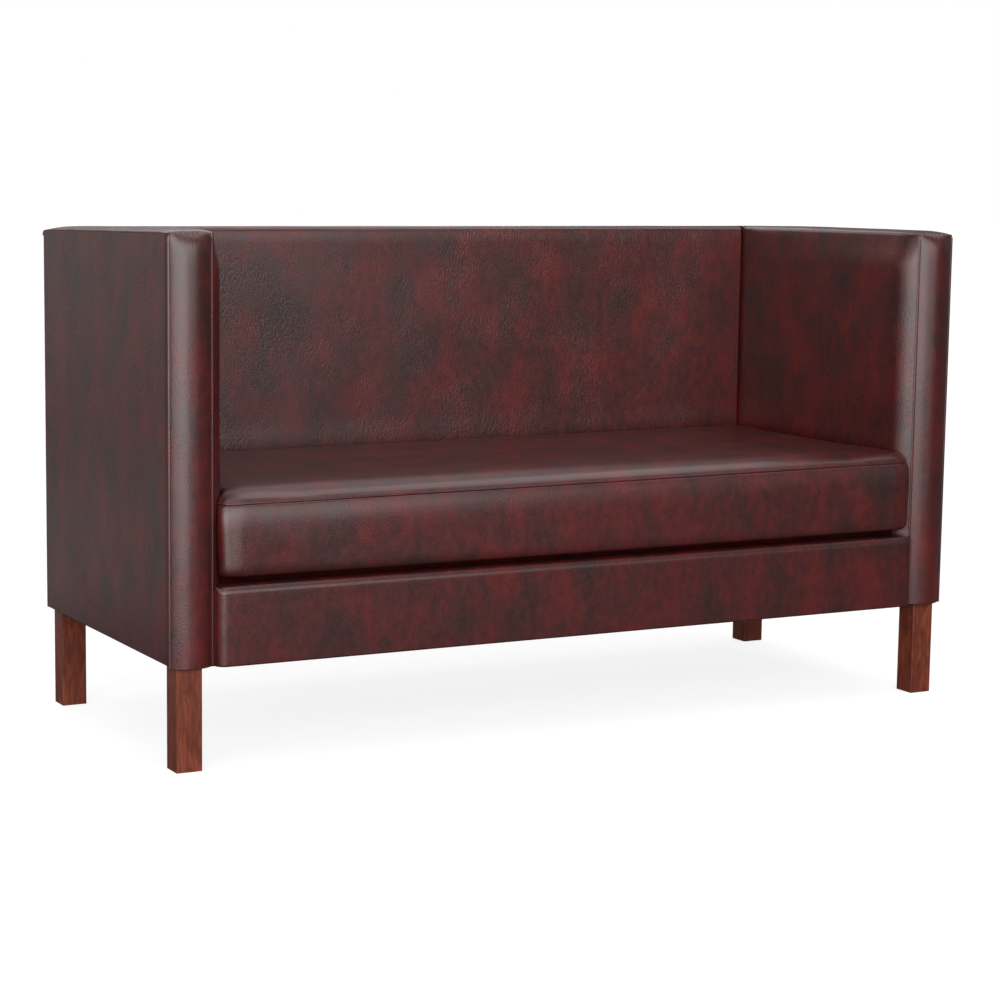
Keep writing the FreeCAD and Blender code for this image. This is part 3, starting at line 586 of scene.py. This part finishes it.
cushion.data.vertices.foreach_set("co", (rest + move).ravel())
cushion.data.update()

bpy.ops.object.mode_set(mode="EDIT")
for offset in (-0.011, -0.008, -0.0055, -0.0035, -0.002, -0.001, 0.0, 0.001, 0.002, 0.0035, 0.0055,
               0.008, 0.011):
    bpy.ops.mesh.select_all(action="SELECT")
    bpy.ops.mesh.bisect(plane_co=(0, 0, seam_height + offset), plane_no=(0, 0, 1))
bpy.ops.object.mode_set(mode="OBJECT")


def square_corners(points):
    """Draws the front corners out to the arms and a little back, and tightens the lower roll."""
    x, y, z = points.T.copy()
    over, ahead = (abs(x) - corner_x) / corner_round, (corner_y - y) / corner_round
    reach = np.hypot(over, ahead)
    corner = (over > 0) & (ahead > 0) & (reach > 0)
    over, ahead, reach = over[corner], ahead[corner], reach[corner]
    outward = ((over / reach) ** corner_power + (ahead / reach) ** corner_power) ** (
        -1 / corner_power)
    x[corner] = np.sign(x[corner]) * (corner_x + corner_round * over * outward)
    y[corner] = corner_y - corner_round * ahead * outward
    spread = 0.010 + 0.003 * ease(1 - (seam_height - z) / 0.09)
    flare = ease((-0.25 - y) / 0.03) * ease((abs(x) - 0.6) / 0.05)
    x = x + np.sign(x) * spread * flare
    y = y + 0.005 * ease((abs(x) - 0.628) / 0.038) * ease((-0.262 - y) / 0.02)
    low = z - deck_clear
    full = seam_height - deck_clear
    stretched = low_roll + (low - packed_roll) * (full - low_roll) / (full - packed_roll)
    low = np.where(low < packed_roll, low * low_roll / packed_roll, stretched)
    return np.stack([x, y, np.where(z < seam_height, deck_clear + low, z)], -1)


def seam_tilt(x, z):
    """The seam rises a little towards the right arm, with the crown above it."""
    return 0.0035 * x / 0.62 * ease((z - boxing_low) / (seam_height - boxing_low))


def cushion_clear(points):
    """Keeps the cushion inside the room between the arms, the back, the zip and the deck."""
    x, y, z = points.T.copy()
    limit = arm_line(np.clip(y, seam_front, back_face)) - 0.0008
    x = np.clip(x, -limit, limit)
    zip_room = zip_face - 0.0003
    between = np.clip((z - seam_height + 0.02) / 0.02, 0, 1)
    behind = zip_room + (back_face - 0.0006 - zip_room) * between
    y = np.minimum(y, behind)
    z = np.maximum(z, deck_clear + 0.0002)
    return np.stack([x, y, z], -1)


corner_x, corner_y, corner_round, corner_power = 0.6349, seam_front, 0.026, 4.0
packed_roll, low_roll = 0.026, 0.013
count = len(cushion.data.vertices)
points = np.empty(count * 3)
cushion.data.vertices.foreach_get("co", points)
points = square_corners(points.reshape(-1, 3))
normals = np.empty(count * 3)
cushion.data.vertices.foreach_get("normal", normals)
normals = normals.reshape(-1, 3)
from_seam = points[:, 2] - seam_height
groove = (0.0014 * np.exp(-(from_seam / 0.0009) ** 2)
          - 0.0006 * np.exp(-((from_seam - 0.0022) / 0.0011) ** 2))
flat = normals.copy()
flat[:, 2] = 0
flat /= np.maximum(np.linalg.norm(flat, axis=1)[:, None], 1e-9)
beside = np.abs(from_seam) < 0.02
points[beside] -= flat[beside] * groove[beside][:, None]
cushion.data.vertices.foreach_set("co", cushion_clear(points).ravel())
cushion.data.update()
cushion.data.shade_smooth()

stitch_height = seam_height + 0.0036
around = [(vertex.co.copy(), vertex.normal.copy()) for vertex in cushion.data.vertices
          if abs(vertex.co.z - stitch_height) < 0.0004]
around.sort(key=lambda pair: math.atan2(pair[0].y + 0.03, pair[0].x))
line = np.array([[*place.xy, stitch_height] for place, _ in around])
away = np.array([[*normal] for _, normal in around])
keep = np.concatenate([[True], np.linalg.norm(np.diff(line, axis=0), axis=1) > 0.0004])
line, away = line[keep], away[keep]
line = np.vstack([line, line[:1]])
away = np.vstack([away, away[:1]])
line[:, 2] += seam_tilt(line[:, 0], line[:, 2])
steps = np.linalg.norm(np.diff(line, axis=0), axis=1)
run = np.concatenate([[0], np.cumsum(steps)])
middles = np.arange(stitch_pitch, run[-1] - stitch_pitch, stitch_pitch)
outward = np.stack([np.interp(middles, run, away[:, axis]) for axis in range(3)], -1)
for vertex in cushion.data.vertices:
    vertex.co.z += float(seam_tilt(vertex.co.x, vertex.co.z))
cushion.data.update()
upholster(cushion, cushion_leather, "cushion_foam", "cushion_top_panel", "cushion_boxing",
          "cushion_bottom_panel", body="cushion", fill=0.85)
row = stitches("cushion_seam_stitches", line, outward, thread)
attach(row, "cushion")


# Legs: square hardwood blocks, stained mahogany and lacquered satin, with eased edges. Their
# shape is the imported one, the grain runs down each leg, and cloudy stain warms the faces.
def stained_hardwood(name, dark, middle, light, rough):
    """Beech or rubberwood stained and sealed: fine straight grain with cloudy stain."""
    material, tree, output, here = bare_material(name)
    grain_way = add_node(tree, "ShaderNodeMapping", {
        "Vector": here, "Scale": (1, 1, 0.07)}).outputs[0]
    grain = add_node(tree, "ShaderNodeTexNoise", {
        "Vector": grain_way, "Scale": 330, "Detail": 5.0, "Roughness": 0.65,
        "Distortion": 0.4}).outputs["Fac"]
    figure_way = add_node(tree, "ShaderNodeMapping", {
        "Vector": here, "Scale": (1, 1, 0.3)}).outputs[0]
    figure = add_node(tree, "ShaderNodeTexNoise", {
        "Vector": figure_way, "Scale": 55, "Detail": 3.0, "Distortion": 1.4}).outputs["Fac"]
    both = add_node(tree, "ShaderNodeMix", {"Factor": 0.45, 2: figure, 3: grain}).outputs[0]
    colour = add_node(tree, "ShaderNodeValToRGB", {"Fac": both})
    ramp = colour.color_ramp
    for share, shade in ((0.35, dark), (0.5, middle), (0.66, light)):
        ramp.elements.new(share).color = linear(shade)
    ramp.elements.remove(ramp.elements[0])
    ramp.elements.remove(ramp.elements[-1])
    bump = add_node(tree, "ShaderNodeBump", {
        "Height": grain, "Strength": 0.12, "Distance": 0.0006}).outputs[0]
    surface = add_node(tree, "ShaderNodeBsdfPrincipled", {
        "Base Color": colour.outputs["Color"], "Roughness": rough, "Normal": bump, "IOR": 1.5})
    tree.links.new(surface.outputs[0], output.inputs["Surface"])
    return material


def refinish(material, *names):
    """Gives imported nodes, whose shape stays, their finished material."""
    for name in names:
        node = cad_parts[name]
        node.data.materials.clear()
        node.data.materials.append(material)


mahogany = stained_hardwood("mahogany_stained_hardwood", "#481a10", "#652a18", "#823f28", 0.4)
refinish(mahogany, "leg_front_left", "leg_front_right", "leg_rear_left", "leg_rear_right")


# Frame: bare sawn hardwood posts and rails with corner blocks and dowels, all inside the covers.
# Dry pale wood, so that the frame reads as timber wherever the cushion or a cover is off.
frame_wood = stained_hardwood("bare_sawn_hardwood", "#9c7a50", "#b8946a", "#cdaf86", 0.7)
refinish(frame_wood, "front_post_left", "front_post_right", "rear_post_left", "rear_post_right",
         "seat_front_rail", "seat_rear_rail", "seat_side_rail_left", "seat_side_rail_right",
         "seat_centre_rail", "glue_blocks", "frame_dowels", "arm_top_rail_left",
         "arm_top_rail_right", "back_top_rail", "back_centre_post")


# Boards: thin pressed wood fibre panels stapled on the frame under the arm and back covers. They
# are a dull mottled brown with loose fibres on their faces.
fibreboard, tree, output, here = bare_material("pressed_fibreboard")
fibres = add_node(tree, "ShaderNodeTexNoise", {
    "Vector": here, "Scale": 500, "Detail": 6.0, "Roughness": 0.75}).outputs["Fac"]
colour = add_node(tree, "ShaderNodeValToRGB", {"Fac": fibres})
colour.color_ramp.elements[0].color = linear("#5e4327")
colour.color_ramp.elements[1].color = linear("#a27c51")
bump = add_node(tree, "ShaderNodeBump", {
    "Height": fibres, "Strength": 0.3, "Distance": 0.0004}).outputs[0]
surface = add_node(tree, "ShaderNodeBsdfPrincipled", {
    "Base Color": colour.outputs["Color"], "Roughness": 0.85, "Normal": bump})
tree.links.new(surface.outputs[0], output.inputs["Surface"])
refinish(fibreboard, "outer_arm_board_left", "outer_arm_board_right", "inner_arm_board_left",
         "inner_arm_board_right", "outer_back_board", "inner_back_board")


# Leg fixings: zinc-plated plates and hanger bolts, with the faint spangle of the plating, and
# moulded glides under the legs, black and slightly hazed.
zinc, tree, output, here = bare_material("zinc_plated_steel")
spangle = add_node(tree, "ShaderNodeTexVoronoi", {"Vector": here, "Scale": 320}).outputs["Color"]
rough = add_node(tree, "ShaderNodeMapRange", {
    "Value": spangle, "To Min": 0.28, "To Max": 0.45}).outputs[0]
surface = add_node(tree, "ShaderNodeBsdfPrincipled", {
    "Base Color": linear("#b9b7ae"), "Metallic": 1.0, "Roughness": rough})
tree.links.new(surface.outputs[0], output.inputs["Surface"])
refinish(zinc, "leg_bolts", "leg_plates")

nylon, tree, output, here = bare_material("moulded_black_nylon")
haze = add_node(tree, "ShaderNodeTexNoise", {"Vector": here, "Scale": 600}).outputs["Fac"]
rough = add_node(tree, "ShaderNodeMapRange", {
    "Value": haze, "To Min": 0.4, "To Max": 0.6}).outputs[0]
surface = add_node(tree, "ShaderNodeBsdfPrincipled", {
    "Base Color": linear("#161514"), "Roughness": rough, "IOR": 1.53})
tree.links.new(surface.outputs[0], output.inputs["Surface"])
refinish(nylon, "leg_glides")


# Seat deck: a felt pad in black spun lining over the webbing, quilted flat by the cushion that
# lies on it. It shows when the cushion is lifted out.
deck_low, deck_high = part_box("seat_deck_pad")


def woven_lining(name, dark, light, pitch):
    """Black spun or woven polyester: a fine cross weave with a dull face."""
    material, tree, output, here = bare_material(name)
    warp = add_node(tree, "ShaderNodeTexWave", {
        "Vector": here, "Scale": 0.314 / pitch, "Distortion": 0.6, "Detail": 1.0},
        bands_direction="X").outputs["Fac"]
    weft = add_node(tree, "ShaderNodeTexWave", {
        "Vector": here, "Scale": 0.314 / pitch, "Distortion": 0.6, "Detail": 1.0},
        bands_direction="Y").outputs["Fac"]
    weave = add_node(tree, "ShaderNodeMath", {0: warp, 1: weft}, operation="MAXIMUM").outputs[0]
    colour = add_node(tree, "ShaderNodeValToRGB", {"Fac": weave})
    colour.color_ramp.elements[0].color = linear(dark)
    colour.color_ramp.elements[1].color = linear(light)
    bump = add_node(tree, "ShaderNodeBump", {
        "Height": weave, "Strength": 0.4, "Distance": 0.0004}).outputs[0]
    surface = add_node(tree, "ShaderNodeBsdfPrincipled", {
        "Base Color": colour.outputs["Color"], "Roughness": 0.9, "Normal": bump,
        "Sheen Weight": 0.2})
    tree.links.new(surface.outputs[0], output.inputs["Surface"])
    return material


lining = woven_lining("black_spun_lining", "#0d0c0c", "#262324", 0.0012)
x, depth = np.meshgrid(np.linspace(-1, 1, 90), np.linspace(0, 1, 40))
y = deck_low.y + (deck_high.y - deck_low.y) * depth
half = arm_line(y) - arm_gap
quilting = np.abs(np.sin(x * half * math.pi / 0.12) * np.sin(y * math.pi / 0.12)) ** 0.4
edge = np.minimum(np.minimum(y - deck_low.y, deck_high.y - y), half * (1 - abs(x)))
z = deck_high.z - 0.0035 + 0.0032 * quilting * ease(edge / 0.03) - 0.004 * (1 - ease(edge / 0.01))
deck = sewn_cover("seat_deck_lining", half * x, y, z, thick=0.012)
deck.data.materials.append(lining)
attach(deck, "settee")
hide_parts("seat_deck_pad")


# Dust cover: a black spun sheet stapled to the underside of the rails, cut round the legs. It
# hangs a few millimetres slack between the side rails and the centre rail.
dust_low, dust_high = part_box("dust_cover")
leg_low, leg_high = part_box("leg_front_right")
rear_leg_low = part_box("leg_rear_right")[0]
leg_gap = 0.001
bpy.ops.mesh.primitive_grid_add(x_subdivisions=110, y_subdivisions=44, size=1,
                                location=(0, (dust_low.y + dust_high.y) / 2, 0))
dust = bpy.context.active_object
dust.name = "underside_dust_cloth"
dust.scale = (dust_high.x - dust_low.x, dust_high.y - dust_low.y, 1)
bpy.ops.object.transform_apply(location=True, rotation=False, scale=True)
bpy.ops.object.mode_set(mode="EDIT")
for place in (leg_low.x - leg_gap, -leg_low.x + leg_gap):
    bpy.ops.mesh.select_all(action="SELECT")
    bpy.ops.mesh.bisect(plane_co=(place, 0, 0), plane_no=(1, 0, 0))
for place in (leg_high.y + leg_gap, rear_leg_low.y - leg_gap):
    bpy.ops.mesh.select_all(action="SELECT")
    bpy.ops.mesh.bisect(plane_co=(0, place, 0), plane_no=(0, 1, 0))
bpy.ops.mesh.select_all(action="DESELECT")
edit = bmesh.from_edit_mesh(dust.data)
for face in edit.faces:
    middle = face.calc_center_median()
    beside_leg = abs(middle.x) > leg_low.x - leg_gap
    face.select = beside_leg and (middle.y < leg_high.y + leg_gap
                                  or middle.y > rear_leg_low.y - leg_gap)
bpy.ops.mesh.delete(type="FACE")
bpy.ops.object.mode_set(mode="OBJECT")
for vertex in dust.data.vertices:
    x, y, _ = vertex.co
    slack = ease(min(dust_high.x - abs(x), y - dust_low.y, dust_high.y - y) / 0.09)
    middle_rail = ease((abs(x) - 0.016) / 0.12)
    vertex.co.z = dust_high.z - 0.0002 - 0.0035 * float(slack * middle_rail)
sheet_wall = dust.modifiers.new("thickness", "SOLIDIFY")
sheet_wall.thickness = 0.0005
sheet_wall.offset = -1
bpy.ops.object.modifier_apply(modifier=sheet_wall.name)
dust.data.shade_smooth()
dust.data.materials.append(lining)
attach(dust, "settee")
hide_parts("dust_cover")


# Seat webbing: woven elastic belts, short ones front to back and long ones over them. The belts
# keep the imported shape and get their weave.
belt_weave = woven_lining("woven_elastic_belt", "#3b3833", "#6a655b", 0.0035)
refinish(belt_weave, "seat_webbing_short", "seat_webbing_long")


# Zip: a woven tape sewn in the rear boxing with moulded teeth, and a die-cast slider on them,
# dark and worn lighter in places. The slider rides on its own body.
zip_cloth = woven_lining("zip_tape_weave", "#0f0c0c", "#2a2122", 0.0009)
refinish(zip_cloth, "zip_tape")
antique_metal, tree, output, here = bare_material("dark_die_cast_zinc")
wear = add_node(tree, "ShaderNodeTexNoise", {"Vector": here, "Scale": 700}).outputs["Fac"]
colour = add_node(tree, "ShaderNodeValToRGB", {"Fac": wear})
colour.color_ramp.elements[0].color = linear("#2d2b29")
colour.color_ramp.elements[1].color = linear("#6d6a64")
surface = add_node(tree, "ShaderNodeBsdfPrincipled", {
    "Base Color": colour.outputs["Color"], "Metallic": 1.0, "Roughness": 0.35})
tree.links.new(surface.outputs[0], output.inputs["Surface"])
refinish(antique_metal, "zip_slider")


# Floor and light: a plain pale floor in a dim white room. Softboxes stand ahead of the settee and
# at its left, hang over it, and rim it from behind. A low screen behind the left arm and two
# glowing cards on the floor give the outside arm and the left band their soft veil.
bpy.ops.object.select_all(action="DESELECT")
bpy.ops.mesh.primitive_plane_add(size=60, location=(0, 0, 0))
floor = bpy.context.active_object
floor.name = "studio_floor"
floor_paint, tree, output, here = bare_material("matt_white_floor_paint")
squeezed = add_node(tree, "ShaderNodeMapping", {"Vector": here, "Scale": (0.55, 0.8, 1)}).outputs[0]
away = add_node(tree, "ShaderNodeVectorMath", {0: squeezed}, operation="LENGTH").outputs["Value"]
beyond = add_node(tree, "ShaderNodeMapRange", {
    "Value": away, "From Min": 0.55, "From Max": 1.25}, interpolation_type="SMOOTHSTEP").outputs[0]
paint = add_node(tree, "ShaderNodeBsdfDiffuse", {"Color": (0.15, 0.15, 0.15, 1)}).outputs[0]
pale = add_node(tree, "ShaderNodeBsdfDiffuse", {"Color": (0.3, 0.3, 0.3, 1)}).outputs[0]
glow = add_node(tree, "ShaderNodeEmission", {"Color": (1, 1, 1, 1), "Strength": 0.82}).outputs[0]
bright = add_node(tree, "ShaderNodeEmission", {"Color": (1, 1, 1, 1), "Strength": 1.05}).outputs[0]
seen = add_node(tree, "ShaderNodeLightPath")
lit = add_node(tree, "ShaderNodeAddShader", {0: pale, 1: glow}).outputs[0]
faded = add_node(tree, "ShaderNodeMixShader", {0: beyond, 1: lit, 2: bright}).outputs[0]
mixed = add_node(tree, "ShaderNodeMixShader", {
    0: seen.outputs["Is Camera Ray"], 1: paint, 2: faded}).outputs[0]
tree.links.new(mixed, output.inputs["Surface"])
floor.data.materials.append(floor_paint)

world = bpy.data.worlds.new("white_studio")
bpy.context.scene.world = world
world.use_nodes = True
tree = world.node_tree
tree.nodes.clear()
output = add_node(tree, "ShaderNodeOutputWorld")
seen = add_node(tree, "ShaderNodeLightPath")
plain = add_node(tree, "ShaderNodeMath", {
    0: seen.outputs["Is Camera Ray"], 1: seen.outputs["Is Transmission Ray"]},
    operation="MAXIMUM").outputs[0]
room = add_node(tree, "ShaderNodeBackground", {"Color": (1, 1, 1, 1), "Strength": 0.25}).outputs[0]
white = add_node(tree, "ShaderNodeBackground", {"Color": (1, 1, 1, 1), "Strength": 1.0}).outputs[0]
mixed = add_node(tree, "ShaderNodeMixShader", {0: plain, 1: room, 2: white}).outputs[0]
tree.links.new(mixed, output.inputs["Surface"])

for name, place, aim, wide, tall, glow in (
        ("key_softbox", (-3.13, -4.64, 1.6), (0, 0, 0.5), 5.4, 3.2, 4.7),
        ("fill_softbox", (0.78, -5.55, 2.1), (0, 0, 0.5), 3.1, 3.1, 3.2),
        ("side_softbox", (-5.9, -1.0, 1.5), (0, 0, 0.5), 5.2, 2.8, 1.3),
        ("overhead_softbox", (2.2, 0.2, 5.2), (0, -0.1, 0.4), 4.5, 3.5, 1.9),
        ("top_softbox", (-1.2, -2.0, 4.9), (0, 0, 0.4), 5.0, 5.0, 1.2),
        ("rear_softbox", (0.5, 4.5, 3.6), (0, 0, 0.4), 5.0, 2.0, 1.6),
        ("low_white_screen", (-2.1, 5.6, 0.75), (-0.7, 0, 0.5), 5.0, 1.5, 0.3),
        ("front_floor_card", (-1.9, -3.2, 0.02), (-1.9, -3.2, 1.0), 1.9, 3.4, 2.6),
        ("rear_floor_card", (-1.7, 2.3, 0.02), (-1.7, 2.3, 1.0), 1.6, 2.6, 0.22)):
    lamp = bpy.data.lights.new(name, "AREA")
    lamp.shape = "RECTANGLE"
    lamp.size = wide
    lamp.size_y = tall
    lamp.energy = glow * math.pi * wide * tall
    softbox = bpy.data.objects.new(name, lamp)
    bpy.context.scene.collection.objects.link(softbox)
    softbox.location = place
    softbox.visible_camera = False
    facing = Vector(place) - Vector(aim)
    softbox.rotation_euler = facing.to_track_quat("Z", "Y").to_euler()


# Camera: at the photograph's place, turned 28.6 degrees to the settee and 7.7 degrees down. Its
# place and lens come from the photograph's own perspective.
lens_in_pixels, frame_width = 2523, 1000
yaw, pitch, tilt = math.radians(28.62), math.radians(7.72), math.radians(0.81)
ahead = Vector((math.sin(yaw) * math.cos(pitch), math.cos(yaw) * math.cos(pitch),
                -math.sin(pitch)))
level = Vector((math.cos(yaw), -math.sin(yaw), 0))
upward = level.cross(ahead)
right = level * math.cos(tilt) + upward * math.sin(tilt)
above = upward * math.cos(tilt) - level * math.sin(tilt)
lens = bpy.data.cameras.new("studio_camera")
lens.sensor_fit = "HORIZONTAL"
lens.sensor_width = 36
lens.lens = lens_in_pixels / frame_width * lens.sensor_width
lens.clip_end = 100
camera = bpy.data.objects.new("studio_camera", lens)
bpy.context.scene.collection.objects.link(camera)
camera.matrix_world = Matrix.Translation((-2.141, -3.894, 0.961)) @ Matrix(
    (right, above, -ahead)).transposed().to_4x4()
bpy.context.scene.camera = camera
bpy.context.scene.view_settings.view_transform = "Standard"
